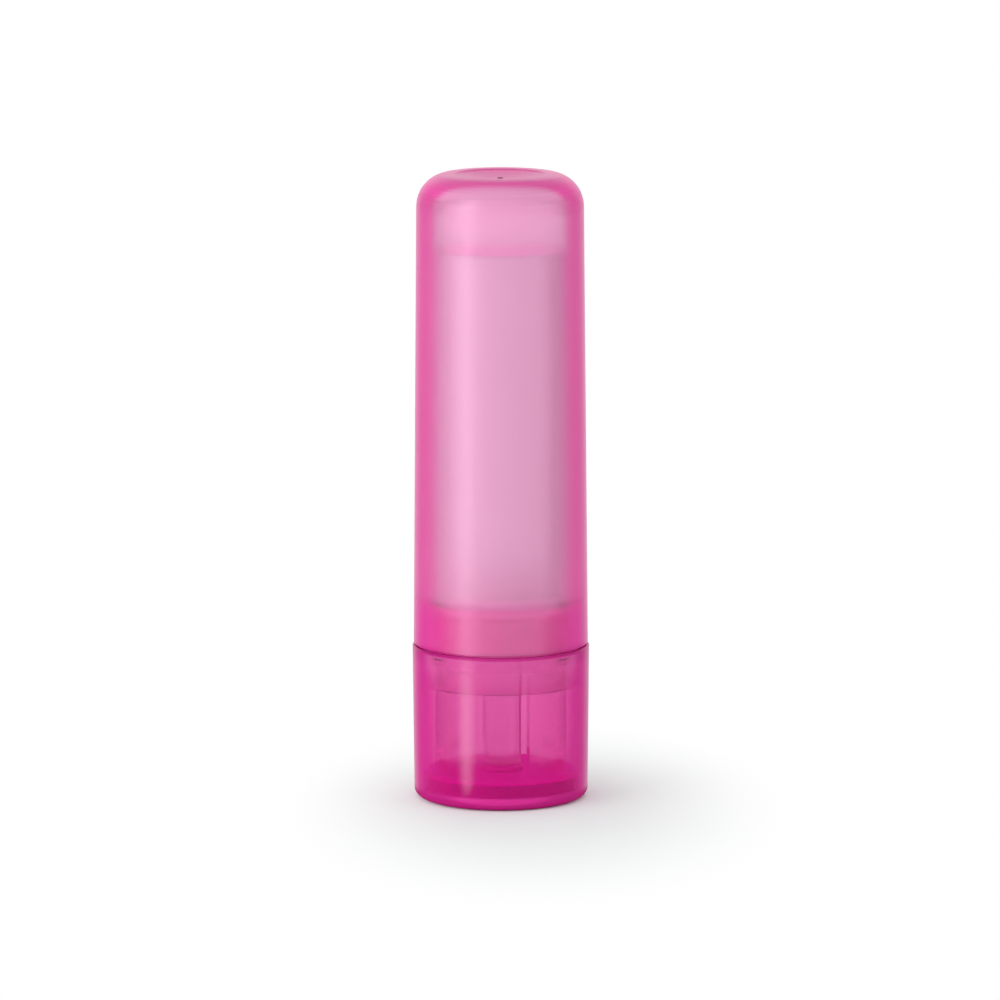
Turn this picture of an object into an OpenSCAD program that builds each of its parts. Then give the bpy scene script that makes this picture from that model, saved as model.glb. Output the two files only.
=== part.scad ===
// Twist-up lip balm stick: a clear tinted base with a drive screw, a clear neck,
// a white barrel with the balm on its carrier, and a frosted push-on cap.
// Millimetres. The stick stands upright on Z = 0 and its front faces -Y.

/* [Base] */
// Outer diameter of the base at its rim
base_d = 20; // [18:0.5:24]
// Height of the base, from the table to its rim
base_h = 17.5; // [15:0.5:22]
// Wall of the clear base shell
base_wall = 0.92; // [0.7:0.02:1.2]
// Floor of the clear base shell
base_floor = 0.9; // [0.6:0.1:1.4]
// How much smaller the base is across at its foot than at its rim
base_draft = 0.3; // [0:0.1:0.8]
// Radius of the rounded foot edge
foot_edge_r = 1.1; // [0.6:0.1:1.4]
// Depth of the recess under the floor
foot_recess = 0.3; // [0.1:0.1:0.5]
// Width of the flat ring that the base stands on
foot_ring = 2.6; // [1.5:0.1:4]

/* [Drive screw] */
// Thickness of the disc that closes the base
disc_h = 2.1; // [1.5:0.1:3]
// Diameter of the low hub round the foot of the shank
hub_d = 5; // [4.5:0.1:7]
// Height of that hub
hub_h = 0.4; // [0.2:0.1:1.2]
// Diameter of the plain shank
shank_d = 3.7; // [3:0.1:4]
// Diameter over the thread's core
core_d = 3; // [2.4:0.1:3.4]
// Height of the thread over its core
thread_h = 0.7; // [0.4:0.05:0.9]
// Rise of the thread in one turn
lead = 6; // [4:0.5:8]
// Number of thread starts
starts = 2; // [1:1:3]

/* [Neck] */
// Height of the neck above the rim of the base
neck_h = 5.2; // [4:0.1:7]
// How deep the neck's skirt reaches into the base
skirt_depth = 4.4; // [3.4:0.1:6]
// Wall of the neck's outer ring
neck_wall = 0.9; // [0.7:0.05:1.2]
// Thickness of the neck's floor
neck_floor = 1.2; // [0.8:0.1:1.8]
// Gap between the outer ring and the slotted tube inside it
tube_gap = 0.65; // [0.4:0.05:1]
// Wall of the slotted tube
tube_wall = 0.9; // [0.7:0.05:1.2]
// Width of the slots in that tube
slot_w = 1; // [0.6:0.1:1.6]
// How far the slots stop below the neck's floor
slot_stop = 1.4; // [0.8:0.1:2.5]
// Height of the spigot that the barrel is pushed onto
spigot_h = 3.2; // [2.2:0.1:4.5]
// Wall of that spigot
spigot_wall = 0.9; // [0.6:0.05:1.2]

/* [Barrel] */
// Length of the barrel above the neck
barrel_h = 39.8; // [34:0.1:48]
// How far the barrel stands back from the outside of the neck
barrel_step = 1.3; // [1.1:0.05:1.6]
// Wall of the barrel at its foot
barrel_wall = 1; // [0.8:0.05:1.3]
// How much smaller the barrel is across at its rim than at its foot
barrel_draft = 0.2; // [0:0.05:0.5]
// Number of guide ribs in the bore
guide_count = 4; // [2:1:6]
// Width of a guide rib
guide_w = 0.8; // [0.5:0.1:1.2]
// Height of a guide rib
guide_h = 0.4; // [0.25:0.05:0.5]

/* [Carrier and balm] */
// Height of the carrier's cup
carrier_h = 4; // [3:0.1:6]
// Wall of the carrier's cup
carrier_wall = 0.8; // [0.7:0.05:1.1]
// Floor of the carrier
carrier_floor = 1; // [0.7:0.1:1.5]
// Wall of the carrier's nut round the thread
nut_wall = 0.9; // [0.6:0.1:1.3]
// Height of the nut
nut_h = 5.5; // [4:0.1:7]
// Thickness of the fins that grip the balm
fin_w = 0.7; // [0.5:0.1:1]
// How far the tip of the balm lies below the barrel's rim
balm_recess = 1.2; // [0.5:0.1:3]
// Height of the balm's domed tip
balm_dome = 0.9; // [0.4:0.1:1.5]
// Balm left over the end of the drive screw
balm_cover = 2.3; // [1.8:0.1:4]

/* [Cap] */
// Wall of the cap at its mouth
cap_wall = 0.72; // [0.6:0.01:0.9]
// Wall of the cap above the neck
cap_body_wall = 1.05; // [0.9:0.05:1.3]
// How much smaller the cap is across at its shoulder than at its mouth
cap_draft = 0.9; // [0.4:0.1:1.4]
// Free height between the barrel's rim and the cap's ceiling
head_room = 6.9; // [4.5:0.1:9]
// Thickness of the cap's top at its rim
cap_top = 1.6; // [1.4:0.1:2.2]
// Width of the rounded shoulder
shoulder_w = 3.65; // [2.5:0.05:4.5]
// Height of the rounded shoulder
shoulder_h = 3.75; // [3:0.05:5]
// Step from the rim down into the dished top
dish_step = 0.15; // [0.1:0.05:0.3]
// Depth of the dish below that step
dish_depth = 0.55; // [0.2:0.05:0.6]

/* [Clearances] */
// Running clearance between the neck and the base, and between nut and thread
run_clear = 0.08; // [0.06:0.01:0.12]
// Clearance of the carrier and the balm in the barrel
slide_clear = 0.1; // [0.08:0.01:0.15]
// Clearance of parts that are pushed home and stay
seat_clear = 0.03; // [0.02:0.01:0.05]
// Clearance round the drive screw's thread
thread_clear = 0.16; // [0.14:0.01:0.22]
// Gap where one part stops against another
stop_gap = 0.12; // [0.08:0.02:0.2]

/* [Hidden] */
$fn = 96;

// The front slot stands this far round from the front
slot_angle = 21;
slot_count = 2;
// Half angles of a thread at its crest and at its root
crest_angle = 20;
root_angle = 32;
// Steps in a turn of the thread, in a small arc and in the cap's shoulder
turn_steps = 16;
arc_steps = 8;
shoulder_steps = 14;
// Cuts run past the faces that they open by this much
over = 0.5;

// Small edges and snap beads
edge_r = 0.25;
rim_chamfer = 0.15;
bead_share = 0.33;
snap_h = 0.16;
snap_w = 1;
snap_drop = 1;
bead_h = 0.06;
bead_w = 0.8;
barrel_bead_h = 0.1;
gate_r = 0.5;
gate_h = 0.22;
gate_sink_r = 0.9;
gate_sink_h = 0.1;
dish_turn_w = 0.8;
inner_edge_r = 0.4;
screw_tip_h = 0.7;
land_h = 2.2;
land_over = 0.15;
hub_fillet = 0.6;

// Base and what stands in it
base_r = base_d / 2;
foot_r = base_r - base_draft / 2;
bore_r = base_r - base_wall;
disc_seat_r = foot_r - base_wall;
disc_top = base_floor + disc_h;
skirt_z = base_h - skirt_depth;
snap_z = base_h - snap_drop;

// Neck
neck_r = bore_r - run_clear;
neck_top = base_h + neck_h;
neck_under = neck_top - neck_floor;
ring_r = neck_r - neck_wall;
tube_r = ring_r - tube_gap;
tube_bore_r = tube_r - tube_wall;
bead_z = base_h + neck_h * bead_share;

// Barrel
barrel_r = neck_r - barrel_step;
barrel_top = neck_top + barrel_h;
barrel_top_r = barrel_r - barrel_draft / 2;
barrel_bore_r = barrel_r - barrel_wall;
guide_tip_r = barrel_bore_r - guide_h;
spigot_r = barrel_bore_r - seat_clear;
spigot_top = neck_top + spigot_h;

// Drive screw
core_r = core_d / 2;
crest_r = core_r + thread_h;
land_r = crest_r + land_over;
land_z = neck_under - (land_h - neck_floor) / 2;
thread_z = land_z + land_h;

// Carrier and balm
carrier_z = spigot_top + stop_gap;
carrier_r = barrel_bore_r - slide_clear;
carrier_bore_r = carrier_r - carrier_wall;
carrier_top = carrier_z + carrier_h;
carrier_deck = carrier_z + carrier_floor;
nut_r = crest_r + thread_clear + nut_wall;
nut_top = carrier_z + nut_h;
balm_top = barrel_top - balm_recess;
screw_top = balm_top - balm_cover;

// Cap
cap_z = base_h + stop_gap;
cap_bore_r = neck_r + run_clear + bead_h;
cap_r = cap_bore_r + cap_wall;
ceiling = barrel_top + head_room;
cap_z1 = ceiling + cap_top;
shoulder_z = cap_z1 - shoulder_h;
cap_top_r = cap_r - cap_draft / 2;
dish_r = cap_top_r - shoulder_w;
cap_step_z = neck_top + 3 * stop_gap;

// Points along an arc of an ellipse, from angle a0 to a1
function arc(centre, rx, ry, a0, a1, steps = arc_steps) =
    [for (i = [0:steps]) let (a = a0 + (a1 - a0) * i / steps)
        [centre.x + rx * cos(a), centre.y + ry * sin(a)]];

// Points down a shallow bowl that is depth deep, from radius r1 at height z to radius r0
function bowl(r1, r0, z, depth, steps = arc_steps) =
    [for (i = [0:steps]) let (r = r1 + (r0 - r1) * i / steps)
        [r, z - depth * (r1 * r1 - r * r) / (r1 * r1 - r0 * r0)]];

// Radius at height z on a wall that runs straight from r0 at z0 to r1 at z1
function along(z, z0, r0, z1, r1) = r0 + (r1 - r0) * (z - z0) / (z1 - z0);

// Cross-section of the drive screw: one crest for each start, over a round core
function thread_section(root, crest, crest_a, root_a) =
    let (pitch_a = 360 / starts)
    [for (s = [0:starts - 1]) each concat(
        arc([0, 0], crest, crest, s * pitch_a - crest_a, s * pitch_a + crest_a, 3),
        arc([0, 0], root, root, s * pitch_a + root_a, (s + 1) * pitch_a - root_a, 6))];

// A right-hand thread from z0 to z1, in phase with the drive screw at any height
module thread(z0, z1, grow = 0) {
    turns = (z1 - z0) / lead;
    grow_a = grow / crest_r * 180 / PI;
    section = thread_section(core_r + grow, crest_r + grow,
                             crest_angle + grow_a, root_angle + grow_a);
    translate([0, 0, z0])
        rotate(360 * (z0 - thread_z) / lead)
            linear_extrude(height = z1 - z0, twist = -360 * turns,
                           slices = max(1, round(turns * turn_steps)),
                           segments = len(section))
                polygon(section);
}

// A copy of the children for each of count places round the axis
module around(count, turn = 0) {
    for (i = [0:count - 1])
        rotate(-90 + turn + 360 * i / count)
            children();
}

// A soft bead round the axis, w wide, that swells from radius r to tip_r at height z.
// Its back lies at back_r, inside the wall that carries it, or outside a wall that it cuts
module ring_bead(r, tip_r, z, w, back_r) {
    rotate_extrude()
        polygon(concat(
            [[back_r, z - w / 2]],
            [for (i = [0:arc_steps]) let (a = 360 * i / arc_steps)
                [r + (tip_r - r) * (1 - cos(a)) / 2, z + w * (i / arc_steps - 1 / 2)]],
            [[back_r, z + w / 2]]));
}

// Clear shell of the base: drafted wall, rounded foot, recessed underside
module base_cup() {
    color([0.86, 0.16, 0.55, 0.6]) {
        rotate_extrude()
            polygon(concat(
                [[0, foot_recess], [foot_r - foot_edge_r - foot_ring, foot_recess],
                 [foot_r - foot_edge_r - foot_ring + foot_recess, 0]],
                arc([foot_r - foot_edge_r, foot_edge_r], foot_edge_r, foot_edge_r, -90, 0),
                [[base_r, base_h - rim_chamfer], [base_r - rim_chamfer, base_h],
                 [bore_r + rim_chamfer, base_h], [bore_r, base_h - rim_chamfer],
                 [bore_r, skirt_z - stop_gap], [disc_seat_r, disc_top],
                 [disc_seat_r, base_floor + inner_edge_r]],
                arc([disc_seat_r - inner_edge_r, base_floor + inner_edge_r],
                    inner_edge_r, inner_edge_r, 0, -90),
                [[0, base_floor]]));
        snap_ring();
    }
}

// Inward bead of the base that holds the neck down and lets it turn
module snap_ring() {
    ring_bead(bore_r, bore_r - snap_h, snap_z, snap_w, bore_r + base_wall / 2);
}

// Disc, shank and twin-start screw, moulded in one
module drive_screw() {
    disc_r = disc_seat_r - seat_clear;
    color([0.72, 0.04, 0.44]) {
        rotate_extrude()
            polygon(concat(
                [[0, base_floor], [disc_r - inner_edge_r, base_floor],
                 [disc_r, base_floor + inner_edge_r], [disc_r, disc_top - rim_chamfer],
                 [disc_r - rim_chamfer, disc_top], [hub_d / 2, disc_top],
                 [hub_d / 2 - rim_chamfer, disc_top + hub_h]],
                arc([shank_d / 2 + hub_fillet, disc_top + hub_h + hub_fillet],
                    hub_fillet, hub_fillet, 270, 180),
                [[shank_d / 2, land_z - land_over], [land_r, land_z],
                 [land_r, thread_z], [0, thread_z]]));
        thread(thread_z - land_over, screw_top - screw_tip_h);
        translate([0, 0, screw_top - screw_tip_h - land_over])
            cylinder(r1 = core_r - rim_chamfer, r2 = core_r / 2,
                     h = screw_tip_h + land_over);
    }
}

// Clear neck: outer ring with skirt, floor with a bearing, slotted tube and spigot
module neck() {
    color([0.84, 0.14, 0.53, 0.6])
        difference() {
            union() {
                rotate_extrude() neck_ring_section();
                rotate_extrude() neck_tube_section();
                ring_bead(neck_r, neck_r + bead_h, bead_z, bead_w,
                          neck_r - neck_wall / 2);
                ring_bead(spigot_r, spigot_r + barrel_bead_h,
                          neck_top + spigot_h / 2, bead_w, spigot_r - spigot_wall / 2);
            }
            ring_bead(neck_r, neck_r - snap_h, snap_z, snap_w, neck_r + over);
            around(slot_count, slot_angle)
                translate([0, -slot_w / 2, disc_top])
                    cube([tube_r + tube_gap / 2, slot_w,
                          neck_under - slot_stop - disc_top]);
        }
}

// Outer ring of the neck, with the floor that joins it to the bearing
module neck_ring_section() {
    hole_r = land_r + run_clear;
    polygon(concat(
        [[hole_r, neck_under], [ring_r, neck_under], [ring_r, skirt_z],
         [neck_r - edge_r, skirt_z], [neck_r, skirt_z + edge_r]],
        arc([neck_r - edge_r, neck_top - edge_r], edge_r, edge_r, 0, 90),
        [[hole_r, neck_top]]));
}

// Slotted tube below the floor and spigot above it
module neck_tube_section() {
    tube_z = disc_top + stop_gap;
    polygon([[tube_bore_r, tube_z], [tube_r, tube_z], [tube_r, neck_under + over / 2],
             [tube_bore_r, neck_under + over / 2]]);
    polygon([[spigot_r - spigot_wall, neck_top - over / 2],
             [spigot_r, neck_top - over / 2], [spigot_r, spigot_top - edge_r],
             [spigot_r - edge_r, spigot_top], [spigot_r - spigot_wall, spigot_top]]);
}

// White barrel: drafted tube with guide ribs, pushed over the spigot
module barrel() {
    rib_z = carrier_z;
    rib_top = barrel_top - balm_recess - balm_dome;
    rim_r = (barrel_top_r - barrel_bore_r) / 2;
    color([0.96, 0.93, 0.94]) {
        difference() {
            rotate_extrude()
                polygon(concat(
                    [[barrel_bore_r, neck_top], [barrel_r, neck_top],
                     [barrel_top_r, barrel_top - rim_r]],
                    arc([barrel_bore_r + rim_r, barrel_top - rim_r], rim_r, rim_r, 0, 180)));
            ring_bead(barrel_bore_r, barrel_bore_r + barrel_bead_h,
                      neck_top + spigot_h / 2, bead_w, barrel_bore_r - over);
        }
        around(guide_count, slot_angle)
            translate([guide_tip_r, -guide_w / 2, rib_z])
                cube([guide_h + barrel_wall / 2, guide_w, rib_top - rib_z]);
    }
}

// Notches that clear the guide ribs, from z0 to z1
module guide_notches(z0, z1) {
    around(guide_count, slot_angle)
        translate([guide_tip_r - slide_clear, -guide_w / 2 - slide_clear, z0])
            cube([guide_h + 2 * slide_clear + over, guide_w + 2 * slide_clear, z1 - z0]);
}

// Fins between the nut and the wall of the carrier
module carrier_fins() {
    around(guide_count, slot_angle + 180 / guide_count)
        translate([nut_r - nut_wall / 2, -fin_w / 2, carrier_deck])
            cube([carrier_bore_r - nut_r + nut_wall / 2 + carrier_wall / 2, fin_w,
                  carrier_h - carrier_floor - carrier_wall]);
}

// Carrier: a cup with a threaded nut, kept from turning by the guide ribs
module carrier() {
    color([0.9, 0.88, 0.9])
        difference() {
            union() {
                rotate_extrude()
                    polygon([[0, carrier_z], [carrier_r - edge_r, carrier_z],
                             [carrier_r, carrier_z + edge_r], [carrier_r, carrier_top],
                             [carrier_bore_r, carrier_top], [carrier_bore_r, carrier_deck],
                             [nut_r, carrier_deck], [nut_r, nut_top], [0, nut_top]]);
                carrier_fins();
            }
            thread(carrier_z - over, nut_top + over, thread_clear);
            guide_notches(carrier_z - over, carrier_top + over);
        }
}

// Balm: cast on the carrier, with a domed tip
module balm() {
    hole_r = crest_r + 2 * thread_clear;
    hole_top = screw_top + stop_gap;
    color([0.98, 0.95, 0.92])
        difference() {
            rotate_extrude()
                polygon(concat(
                    [[nut_r, carrier_deck], [carrier_bore_r, carrier_deck],
                     [carrier_bore_r, carrier_top], [carrier_r, carrier_top]],
                    arc([0, balm_top - balm_dome], carrier_r, balm_dome, 0, 90,
                        shoulder_steps),
                    [[0, hole_top], [hole_r, hole_top],
                     [hole_r, nut_top], [nut_r, nut_top]]));
            carrier_fins();
            guide_notches(carrier_top - over, balm_top + over);
        }
}

// Frosted cap: drafted tube, rounded shoulder and dished top with its gate mark
module cap() {
    inner_draft = cap_draft / 2 * (ceiling - cap_z) / (shoulder_z - cap_z);
    body_bore_r = cap_r - cap_body_wall;
    inner_shoulder = shoulder_w - cap_body_wall / 2;
    inner_top_r = body_bore_r - inner_draft;
    inner_z = ceiling - inner_shoulder;
    dish_z = cap_z1 - dish_step - dish_depth;
    color([0.93, 0.55, 0.75, 0.8])
        rotate_extrude()
            polygon(concat(
                [[cap_bore_r + rim_chamfer, cap_z], [cap_r - rim_chamfer, cap_z],
                 [cap_r, cap_z + rim_chamfer]],
                arc([cap_top_r - shoulder_w, shoulder_z], shoulder_w, shoulder_h, 0, 90,
                    shoulder_steps),
                arc([dish_r, cap_z1 - dish_step], dish_turn_w, dish_step, 90, 180),
                bowl(dish_r - dish_turn_w, gate_sink_r, cap_z1 - dish_step, dish_depth),
                [[gate_r, dish_z - gate_sink_h], [gate_r / 2, dish_z + gate_h],
                 [0, dish_z + gate_h], [0, ceiling]],
                arc([inner_top_r - inner_shoulder, inner_z], inner_shoulder,
                    inner_shoulder, 90, 0),
                [[along(cap_step_z, cap_z, body_bore_r, ceiling, inner_top_r), cap_step_z],
                 [cap_bore_r, cap_step_z - stop_gap], [cap_bore_r, cap_z + rim_chamfer]]));
}

base_cup();
drive_screw();
neck();
barrel();
carrier();
balm();
cap();
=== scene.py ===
import math

import bpy
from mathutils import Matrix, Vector

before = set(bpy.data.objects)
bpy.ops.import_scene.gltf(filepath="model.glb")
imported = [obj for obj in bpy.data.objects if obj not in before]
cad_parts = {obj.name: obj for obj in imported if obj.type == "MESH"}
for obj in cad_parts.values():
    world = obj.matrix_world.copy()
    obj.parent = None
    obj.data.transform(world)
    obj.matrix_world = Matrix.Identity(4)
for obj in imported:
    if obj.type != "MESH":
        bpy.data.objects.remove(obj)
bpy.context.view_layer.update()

MM = 0.001


# Heights on the stick that the materials follow, from the frame

def span(node):
    """The lowest and the highest point of a CAD piece, in its own frame."""
    heights = [corner[2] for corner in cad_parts[node].bound_box]
    return min(heights), max(heights)


BASE_RIM = span("base_cup")[1]
SKIRT_FOOT = BASE_RIM - 4.7 * MM
DISC_TOP = span("drive_screw")[0] + 2.1 * MM
BARREL_FOOT, BARREL_MOUTH = span("barrel")
CAP_TOP = span("cap")[1]


# Camera: the photograph's angle, from the front and a little above

def place_camera():
    """A long lens far off, aimed at the stick's axis."""
    lens_mm = 235.5
    pitch = math.radians(9.23)
    lean = math.radians(0.1)
    distance = 738.5 * MM
    aim = Vector((0.14 * MM, 0, 33.9 * MM))
    camera = bpy.data.objects.new("camera", bpy.data.cameras.new("camera"))
    bpy.context.scene.collection.objects.link(camera)
    camera.data.lens = lens_mm
    camera.data.sensor_width = 36
    camera.data.clip_start = 0.01
    camera.data.clip_end = 50
    camera.location = aim + distance * Vector((0, -math.cos(pitch), math.sin(pitch)))
    camera.rotation_euler = (math.pi / 2 - pitch, lean, 0)
    bpy.context.scene.camera = camera
    bpy.context.scene.view_settings.view_transform = "Standard"
    # Light passes many clear walls before it leaves the stick
    bpy.context.scene.cycles.max_bounces = 24
    bpy.context.scene.cycles.transmission_bounces = 24


# Shaders: a recipe adds nodes, and a wire is a value that can be added, multiplied and so on

class Wire:
    """A socket's value, with Python's operators as Math nodes."""

    def __init__(self, recipe, socket):
        self.recipe = recipe
        self.socket = socket

    def _math(self, operation, first, second):
        return self.recipe.node("ShaderNodeMath", {"operation": operation}, (first, second))

    def __add__(self, other):
        return self._math("ADD", self, other)

    def __sub__(self, other):
        return self._math("SUBTRACT", self, other)

    def __rsub__(self, other):
        return self._math("SUBTRACT", other, self)

    def __mul__(self, other):
        return self._math("MULTIPLY", self, other)

    __rmul__ = __mul__

    def most(self, other):
        return self._math("MAXIMUM", self, other)


class Recipe:
    """The nodes of one material, world or lamp."""

    def __init__(self, owner, end="ShaderNodeOutputMaterial"):
        owner.use_nodes = True
        self.owner = owner
        self.tree = owner.node_tree
        self.tree.nodes.clear()
        self.end = self.tree.nodes.new(end)

    def node(self, kind, settings=None, values=(), output=0):
        """A node of that kind: settings first, then its sockets by number or name."""
        made = self.tree.nodes.new(kind)
        for key, value in (settings or {}).items():
            setattr(made, key, value)
        pairs = values.items() if isinstance(values, dict) else enumerate(values)
        for key, value in pairs:
            self.feed(made.inputs[key], value)
        return Wire(self, made.outputs[output])

    def feed(self, socket, value):
        if isinstance(value, Wire):
            self.tree.links.new(value.socket, socket)
        else:
            socket.default_value = value

    def surface(self, shader, volume=None):
        """Ends the recipe, and returns what it was for."""
        self.feed(self.end.inputs["Surface"], shader)
        if volume:
            self.feed(self.end.inputs["Volume"], volume)
        return self.owner

    def place(self):
        """The point on the piece, in metres, in the stick's own frame."""
        return self.node("ShaderNodeTexCoord", output="Object")

    def axis(self, vector, number):
        """One part of a vector: 0 for x, 1 for y, 2 for z."""
        return self.node("ShaderNodeSeparateXYZ", {}, [vector], output=number)

    def vector(self, operation, one, two=None, output="Vector"):
        values = {0: one} if two is None else {0: one, 1: two}
        return self.node("ShaderNodeVectorMath", {"operation": operation}, values, output=output)

    def noise(self, size, detail=2.0, roughness=0.5):
        """Soft noise from 0 to 1, with blotches about size across."""
        return self.node("ShaderNodeTexNoise", {}, {
            "Vector": self.place(), "Scale": 1 / size, "Detail": detail,
            "Roughness": roughness})

    def over(self, value, limit):
        """1 where the value is over the limit, else 0."""
        return self.node("ShaderNodeMath", {"operation": "GREATER_THAN"}, (value, limit))

    def size_of(self, value):
        return self.node("ShaderNodeMath", {"operation": "ABSOLUTE"}, [value])

    def ramp(self, value, start, end, low=0.0, high=1.0):
        """From low to high, smoothly, as the value goes from start to end."""
        return self.node("ShaderNodeMapRange", {"interpolation_type": "SMOOTHSTEP"}, {
            "Value": value, "From Min": start, "From Max": end, "To Min": low,
            "To Max": high})

    def blend(self, factor, one, two):
        """A colour between two colours: the second one's share is the factor."""
        return self.node("ShaderNodeMix", {"data_type": "RGBA"},
                         {0: factor, 6: one, 7: two}, output=2)

    def mix(self, factor, one, two):
        """A shader between two shaders: the second one's share is the factor."""
        return self.node("ShaderNodeMixShader", {}, (factor, one, two))

    def ray(self, kind):
        """A fact about the ray that asks, such as "Is Glossy Ray"."""
        return self.node("ShaderNodeLightPath", output=kind)

    def glow(self, colour, strength):
        return self.node("ShaderNodeEmission", {}, {"Color": colour, "Strength": strength})


class ClearRecipe(Recipe):
    """A clear piece's nodes, with the values that its haze follows: the way a face looks,
    how high and how far from the axis it is, and glance, which goes from 0 where the eye
    meets a face head on to 1 where it looks along it."""

    def __init__(self, name):
        super().__init__(bpy.data.materials.new(name))
        self.faced = self.node("ShaderNodeTexCoord", output="Normal")
        self.upward = self.axis(self.faced, 2)
        self.height = self.axis(self.place(), 2)
        self.spoke = self.vector("MULTIPLY", self.place(), (1, 1, 0))
        self.reach = self.vector("LENGTH", self.spoke, output="Value")
        self.inside = self.node("ShaderNodeNewGeometry", output="Backfacing")
        # The shallow dish in the cap's top has melted edges
        plain = self.node("ShaderNodeNewGeometry", output="Normal")
        dish = self.over(self.height, CAP_TOP - 1 * MM) * self.over(7 * MM, self.reach)
        self.soft = self.vector("NORMALIZE", self.blend(dish * 0.8, plain, (0, 0, 1, 1)))
        self.glance = self.node("ShaderNodeLayerWeight", {}, {"Blend": 0.5,
                                                              "Normal": self.soft},
                                output="Facing")

    def glancing(self, start, end):
        """From 0 to 1 as the glance goes from start to end."""
        return self.ramp(self.glance, start, end)

    def facing(self, start, end):
        """From 1 to 0 as the glance goes from start to end."""
        return self.ramp(self.glance, start, end, 1.0, 0.0)

    def band(self, middle, core, edge):
        """1 within core of that height, and 0 past edge of it."""
        return self.ramp(self.size_of(self.height - middle), edge, core)


def tinted_depth(recipe, per_mm):
    """Tint by depth: what a millimetre takes from red, green and blue light."""
    density = 1.05 * max(per_mm) / MM
    kept = [1 - k / MM / density for k in per_mm] + [1]
    return recipe.node("ShaderNodeVolumeAbsorption", {}, {"Color": kept, "Density": density})


def clear_plastic(name, per_mm, roughness, ripple, haze, haze_colour, coat=0.0,
                  middle=None, extras=None, finish=None):
    """Clear moulded plastic: light that passes is tinted by depth, under a thin haze that
    grows where the eye glances along a face. Haze holds the glances where it starts and
    ends to grow and its share at each. With a middle, only faces that look away from that
    height on the axis, the outer ones, carry the haze. Extras and finish are what one piece
    alone has: functions that alter the haze's share and colour, and the whole shader."""
    recipe = ClearRecipe(name)
    share = recipe.ramp(recipe.glance, *haze)
    colour = haze_colour
    if extras:
        share, colour = extras(recipe, share, colour)
    if middle:
        away = recipe.vector("SUBTRACT", recipe.place(), (0, 0, middle))
        outward = recipe.vector("DOT_PRODUCT", away, recipe.faced, "Value")
        share = share * recipe.over(outward, 0)
    share = share * (1 - recipe.inside)

    both = {
        "IOR": 1.5, "Coat Roughness": 0.24,
        "Coat Weight": recipe.ramp(recipe.glance, 0.35, 0.8, coat, 0.2 * coat) if coat else 0.0,
        "Normal": recipe.node("ShaderNodeBump", {}, {
            "Strength": ripple, "Distance": 0.02 * MM, "Normal": recipe.soft,
            "Height": recipe.noise(1.6 * MM, detail=1.0)})}
    clear = recipe.node("ShaderNodeBsdfPrincipled", {}, {
        "Base Color": (1, 1, 1, 1), "Roughness": roughness, "Transmission Weight": 1.0, **both})
    milky = recipe.node("ShaderNodeBsdfPrincipled", {}, {
        "Base Color": colour, "Roughness": 0.35, **both})
    mixed = recipe.mix(share, clear, milky)
    if finish:
        mixed = finish(recipe, mixed)
    return recipe.surface(mixed, tinted_depth(recipe, per_mm))


def shell_extras(recipe, share, colour):
    """The base: less haze over the disc, a closed foot that covers the shade under it and has
    painted shade at its sides, a paler skirt, and a dark line along the lip.
    """
    shade_cover_foot_pink = (0.7, 0.015, 0.29, 1)
    edge_pink = (0.5, 0.0, 0.2, 1)
    skirt_pink = (0.72, 0.1, 0.37, 1)
    disc = recipe.ramp(recipe.height, DISC_TOP + 1.2 * MM, DISC_TOP)
    share = share * (1 - 0.85 * disc * recipe.facing(0.4, 0.62))

    # The foot is nearly opaque, over the shade beneath it, and painted darker where the eye
    # glances along it, as painted shade.
    foot = recipe.ramp(recipe.height, 1.7 * MM, 1.25 * MM, 0.0, 0.9)
    share = share.most(foot)
    colour = recipe.blend(foot * recipe.glancing(0.08, 0.28),
                          recipe.blend(foot, colour, shade_cover_foot_pink), edge_pink)

    skirt = recipe.ramp(recipe.height, SKIRT_FOOT, BASE_RIM - 0.3 * MM, 0.12, 0.55)
    skirt = skirt * recipe.over(recipe.height, SKIRT_FOOT)
    skirt = skirt * recipe.ramp(recipe.glance, 0.15, 0.6, 1.0, 0.1)
    colour = recipe.blend(recipe.ramp(skirt, 0.0, 0.3), colour, skirt_pink)

    lip = recipe.ramp(recipe.height, BASE_RIM - 0.4 * MM, BASE_RIM - 0.25 * MM)
    share = share.most(skirt).most(lip * 0.75)
    return share, recipe.blend(lip, colour, edge_pink)


def neck_extras(recipe, share, colour):
    """The neck: haze on its outer faces alone, paler and half as much within the base."""
    within_pink = (0.95, 0.5, 0.75, 1)
    outer = recipe.over(recipe.reach, 8.3 * MM)
    above = recipe.over(recipe.height, BASE_RIM)
    share = share * outer * (above * 0.5 + 0.5)
    return share, recipe.blend(above, within_pink, colour)


def slot_faces(recipe, mixed):
    """The neck's slots: of each pair of cut faces one is painted dark, as painted shade with a
    faint painted glow, and the other nearly clear. The tube fades out towards its foot, where it
    is lost against the disc."""
    spoke = recipe.vector("NORMALIZE", recipe.spoke)
    out = recipe.vector("DOT_PRODUCT", spoke, recipe.faced, "Value")
    along = recipe.vector("CROSS_PRODUCT", (0, 0, 1), spoke)
    # The normal is turned round where a face is met from inside
    side = recipe.vector("DOT_PRODUCT", along, recipe.faced, "Value") * (1 - 2 * recipe.inside)
    cut = recipe.over(0.6, recipe.size_of(out) + recipe.size_of(recipe.upward))
    gone = recipe.node("ShaderNodeBsdfTransparent")
    # Painted shade with a painted glow: the dark face emits light that no lamp gives.
    dark = recipe.node("ShaderNodeBsdfPrincipled", {}, {
        "Base Color": (0.6, 0.0, 0.3, 1), "Roughness": 0.5,
        "Emission Color": (0.3, 0.0, 0.13, 1), "Emission Strength": 1.0})
    shade = recipe.over(side, 0.5) * 0.55 + 0.2
    mixed = recipe.mix(cut, mixed, recipe.mix(shade, gone, dark))
    foot = recipe.ramp(recipe.height, DISC_TOP + 3.5 * MM, DISC_TOP + 0.6 * MM)
    return recipe.mix(foot, mixed, gone)


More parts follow.
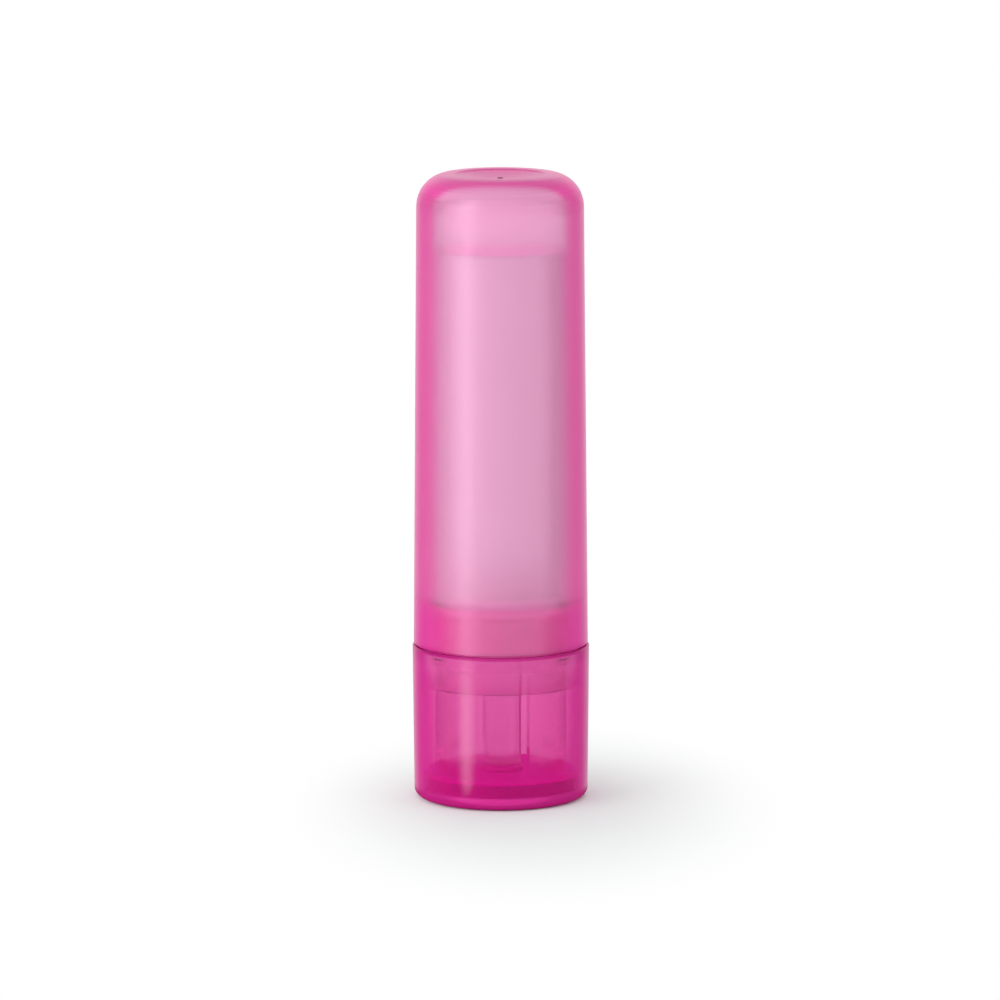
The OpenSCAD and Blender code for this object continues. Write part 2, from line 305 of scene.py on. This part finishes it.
def cap_extras(recipe, share, colour):
    """The cap: haze painted whiter where it is seen head on and deeper at the sides of its foot,
    as painted light and shade. A painted pale end and shoulder in place of the light that falls
    there, painted shade on its top face, painted bands over the shade at the barrel's two ends
    behind it, and a small dark gate mark."""
    painted_light_face_pink = (0.9, 0.42, 0.68, 1)
    painted_shade_side_pink = (0.8, 0.0, 0.34, 1)
    shade_cover_foot_pink = (0.8, 0.2, 0.48, 1)
    shade_cover_mouth_pink = (0.84, 0.27, 0.54, 1)
    pale = (0.79, 0.31, 0.54, 1)
    painted_shade_top_pink = (0.8, 0.1, 0.38, 1)
    gate_pink = (0.3, 0.0, 0.1, 1)

    # Painted light and shade: the haze is whiter where it is seen head on and deeper where the
    # eye glances along a face.
    colour = recipe.blend(recipe.glancing(0.1, 0.42), painted_light_face_pink, colour)
    # Painted shade: deeper pink at the sides below the barrel's foot.
    low = recipe.ramp(recipe.height, BARREL_FOOT + 1.3 * MM, BARREL_FOOT - 1.2 * MM)
    colour = recipe.blend(low * recipe.glancing(0.08, 0.3), colour, painted_shade_side_pink)
    milk = recipe.ramp(recipe.height, BARREL_FOOT - 0.7 * MM, BARREL_FOOT + 9.3 * MM, 0.13, 0.42)
    share = share.most(milk * recipe.facing(0.06, 0.4))

    # Painted light: a pink band over the shade along the barrel's foot behind the cap.
    foot = recipe.band(BARREL_FOOT + 0.3 * MM, 0.3 * MM, 1.8 * MM) * recipe.facing(0.1, 0.5)
    share = share.most(foot * 0.5)
    colour = recipe.blend(foot, colour, shade_cover_foot_pink)

    # Painted light: the end above the barrel's mouth is paler, in place of the light that passes
    # through it there.
    end = recipe.ramp(recipe.height, BARREL_MOUTH + 0.1 * MM, BARREL_MOUTH + 1.5 * MM)
    end = end * recipe.facing(0.03, 0.5) * 0.75
    colour = recipe.blend(recipe.ramp(end, 0.0, 0.3), colour, pale)

    # Painted light: a pink band over the shade in the barrel's mouth behind the cap.
    mouth = recipe.band(BARREL_MOUTH + 0.85 * MM, 0.3 * MM, 1.2 * MM) * recipe.facing(0.1, 0.5)
    colour = recipe.blend(mouth, colour, shade_cover_mouth_pink)

    # Painted light and shade: the shoulder is pale where it is seen head on, the top face deeper
    # pink where the eye glances along it.
    shoulder = recipe.ramp(recipe.upward, 0.0, 0.6)
    top = recipe.blend(recipe.ramp(recipe.upward, 0.5, 0.95), colour, painted_shade_top_pink)
    colour = recipe.blend(shoulder, colour, recipe.blend(recipe.glancing(0.12, 0.42), pale, top))
    share = share.most(end).most(shoulder * 0.78).most(mouth * 0.75)

    gate = recipe.over(0.75 * MM, recipe.reach)
    return share.most(gate * 0.9), recipe.blend(gate, colour, gate_pink)


def deep_plastic(name, disc, shank, glow, roughness):
    """The drive screw's tint: dense in its thick disc, clear in its thin shank above. The
    disc's faces carry a painted glow, in place of the light it gathers from below, the upper one
    most."""
    recipe = Recipe(bpy.data.materials.new(name))
    height = recipe.axis(recipe.place(), 2)
    faced = recipe.node("ShaderNodeTexCoord", output="Normal")
    upward = recipe.ramp(recipe.axis(faced, 2), 0.2, 0.9)
    cloud = recipe.noise(2.5 * MM, detail=3.0)
    glance = recipe.node("ShaderNodeLayerWeight", {}, {"Blend": 0.5}, output="Facing")
    clear = recipe.node("ShaderNodeBsdfPrincipled", {}, {
        "Base Color": shank, "Roughness": roughness, "IOR": 1.5, "Transmission Weight": 1.0})
    # Painted glow: the dense part emits light that no lamp gives, most on upward faces.
    dense = recipe.node("ShaderNodeBsdfPrincipled", {}, {
        "Base Color": recipe.blend(cloud, disc, [0.9 * c for c in disc[:3]] + [1]),
        "Roughness": 0.5, "Specular IOR Level": 0.1,
        "Emission Color": recipe.blend(upward, [0.25 * g for g in glow[:3]] + [1], glow),
        "Emission Strength": 1.0})
    # Painted shade: up to half dense towards the outline, which darkens the edges.
    edge = recipe.ramp(glance, 0.45, 0.9, 0.0, 0.5)
    low = recipe.ramp(height, DISC_TOP + 1.575 * MM, DISC_TOP + 0.111 * MM)
    share = (low * 0.95 + 0.05).most(edge)
    return recipe.surface(recipe.mix(share, clear, dense))


def moulded(name, colour, second, roughness, grain, foot=None, subsurface=0.0):
    """A pale moulded or poured surface: cloudy between two near colours and finely pitted.
    With a foot, it is painted a little pinker just above that height, as painted shade tinted by
    the pink light there."""
    recipe = Recipe(bpy.data.materials.new(name))
    cloud = recipe.noise(3.0 * MM, detail=3.0, roughness=0.6)
    fine = recipe.noise(grain, detail=2.0)
    tint = recipe.blend(cloud, colour, second)
    if foot:
        # Painted shade, tinted pink, just above the foot.
        height = recipe.axis(recipe.place(), 2)
        tint = recipe.blend(recipe.ramp(height, foot, foot + 8 * MM, 0.35, 0.0), tint,
                            (0.9, 0.45, 0.66, 1))
    return recipe.surface(recipe.node("ShaderNodeBsdfPrincipled", {}, {
        "Base Color": tint, "IOR": 1.5,
        "Roughness": recipe.ramp(fine, 0.3, 0.7, roughness - 0.06, roughness + 0.06),
        "Normal": recipe.node("ShaderNodeBump", {}, {"Strength": 0.25, "Distance": 0.03 * MM,
                                                     "Height": fine}),
        "Subsurface Weight": subsurface, "Subsurface Radius": (1.0, 0.8, 0.7),
        "Subsurface Scale": 0.5 * MM}))


def dress(node, material):
    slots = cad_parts[node].data.materials
    slots.clear()
    slots.append(material)


def dress_all():
    dress("base_cup", clear_plastic(
        "clear tinted shell", per_mm=(0.1, 1.0, 0.42), roughness=0.02, ripple=0.05,
        haze=(0.2, 0.5, 0.06, 0.82), haze_colour=(0.58, 0.004, 0.24, 1),
        middle=9 * MM, extras=shell_extras))
    dress("neck", clear_plastic(
        "clear tinted neck", per_mm=(0.01, 0.16, 0.06), roughness=0.14, ripple=0.05,
        haze=(0.02, 0.3, 0.72, 0.94), haze_colour=(0.94, 0.004, 0.4, 1),
        extras=neck_extras, finish=slot_faces))
    # The screw's disc carries a painted glow.
    dress("drive_screw", deep_plastic(
        "deep tinted screw", disc=(0.66, 0.002, 0.42, 1), shank=(1.0, 1.0, 1.0, 1),
        glow=(0.42, 0, 0.22, 1), roughness=0.03))
    # The barrel's foot carries painted shade, tinted pink.
    dress("barrel", moulded(
        "white barrel", (0.8, 0.8, 0.805, 1), (0.77, 0.77, 0.78, 1), roughness=0.42,
        grain=0.25 * MM, foot=BARREL_FOOT - 0.1 * MM))
    dress("carrier", moulded(
        "natural carrier", (0.77, 0.76, 0.77, 1), (0.74, 0.73, 0.74, 1), roughness=0.5,
        grain=0.25 * MM))
    dress("balm", moulded(
        "balm", (0.79, 0.76, 0.71, 1), (0.76, 0.72, 0.66, 1), roughness=0.42,
        grain=0.5 * MM, subsurface=0.3))
    dress("cap", clear_plastic(
        "frosted cap", per_mm=(0.01, 0.35, 0.145), roughness=0.34, ripple=0.1,
        haze=(0.15, 0.56, 0.08, 0.62), haze_colour=(0.8, 0.05, 0.35, 1), coat=0.3,
        middle=45 * MM, extras=cap_extras))


# Stage: pale floor, plain soft light

def build_floor():
    """Close to the stick the floor carries its soft shadow; farther off it is plain white.
    Mirror rays see a painted reflection close to the foot, a dark tinted glow, and no floor past
    that."""
    bpy.ops.mesh.primitive_plane_add(size=6.0, location=(0, 0, -0.02 * MM))
    floor = bpy.context.object
    floor.name = "floor"
    recipe = Recipe(bpy.data.materials.new("pale floor"))
    glossy = recipe.ray("Is Glossy Ray")
    clear = recipe.ray("Is Transmission Ray")
    seen = recipe.ray("Is Camera Ray").most(glossy).most(clear)
    # A little green in the paper cancels the pink light that the stick throws on it
    paper = recipe.node("ShaderNodeBsdfDiffuse", {}, {"Color": (0.75, 0.79, 0.78, 1)})
    shadow_middle = (4 * MM, -8 * MM, 0)
    shadow = recipe.vector("MULTIPLY", recipe.vector("SUBTRACT", recipe.place(), shadow_middle),
                           (1, 0.55, 0))
    off = recipe.ramp(recipe.vector("LENGTH", shadow, output="Value"), 6 * MM, 30 * MM)
    lit = recipe.mix(seen * off, paper, recipe.glow((1, 1, 1, 1), 1.0))

    reach = recipe.vector("LENGTH", recipe.place(), output="Value")
    far = recipe.ramp(reach, 11 * MM, 13 * MM)
    # Painted reflection: mirror rays see a dark tinted glow in place of the floor near the foot.
    mirror = glossy * (1 - clear)
    lit = recipe.mix(mirror * 0.85, lit, recipe.glow((0.3, 0.0, 0.14, 1), 0.5))
    gone = recipe.node("ShaderNodeBsdfTransparent")
    floor.data.materials.append(recipe.surface(recipe.mix(mirror * far, lit, gone)))


def build_world():
    """The white backdrop stands behind the stick: glass finds it there, gloss only near the
    outline, and both find a dim room in front. Light for dull faces is even all round."""
    world = bpy.data.worlds.new("studio")
    bpy.context.scene.world = world
    recipe = Recipe(world, "ShaderNodeOutputWorld")
    back = recipe.axis(recipe.node("ShaderNodeTexCoord", output="Generated"), 1)
    glossy = recipe.ray("Is Glossy Ray")
    through = recipe.ray("Is Transmission Ray")
    mirrored = recipe.ramp(back, 0.65, 0.95, 0.1, 1.0)
    passed = recipe.ramp(back, 0.2, 0.7, 0.35, 1.0)
    dim = glossy * (1 - through) * (mirrored - 1.0) + through * (passed - 1.0)
    level = dim * recipe.over(0.5, recipe.ray("Diffuse Depth")) + 1.0
    recipe.surface(recipe.node("ShaderNodeBackground", {}, {"Color": (1, 1, 1, 1),
                                                            "Strength": level}))


def softbox(name, bearing, centre, distance, width, height, power, mirrored=False):
    """An upright area light at a bearing round from the camera's side, facing the stick.
    A mirrored one shows in glossy faces: it fades towards its upright edges and its foot."""
    light = bpy.data.lights.new(name, "AREA")
    light.shape = "RECTANGLE"
    light.size = width
    light.size_y = height
    light.energy = power
    if mirrored:
        recipe = Recipe(light, "ShaderNodeOutputLight")
        spot = recipe.node("ShaderNodeNewGeometry", output="Parametric")
        fade = recipe.ramp(recipe.size_of(recipe.axis(spot, 0) - 0.5), 0.0, 0.5, 1.0, 0.0)
        fade = fade * recipe.ramp(recipe.axis(spot, 1), 0.0, 8 * MM / height)
        recipe.surface(recipe.glow((1, 1, 1, 1), fade))
    lamp = bpy.data.objects.new(name, light)
    bpy.context.scene.collection.objects.link(lamp)
    turn = math.radians(bearing)
    lamp.location = (distance * math.sin(turn), -distance * math.cos(turn), centre)
    lamp.rotation_euler = (math.pi / 2, 0, turn)
    lamp.visible_diffuse = not mirrored
    lamp.visible_glossy = mirrored


place_camera()
dress_all()
build_floor()
build_world()
softbox("left strip", bearing=-46, centre=0.297, distance=0.7, width=0.42, height=0.907,
        power=3.3, mirrored=True)
softbox("front softbox", bearing=-58, centre=0.19, distance=0.9, width=0.7, height=0.7,
        power=5.0)
softbox("right softbox", bearing=65, centre=0.3, distance=0.8, width=0.5, height=0.5,
        power=1.3)
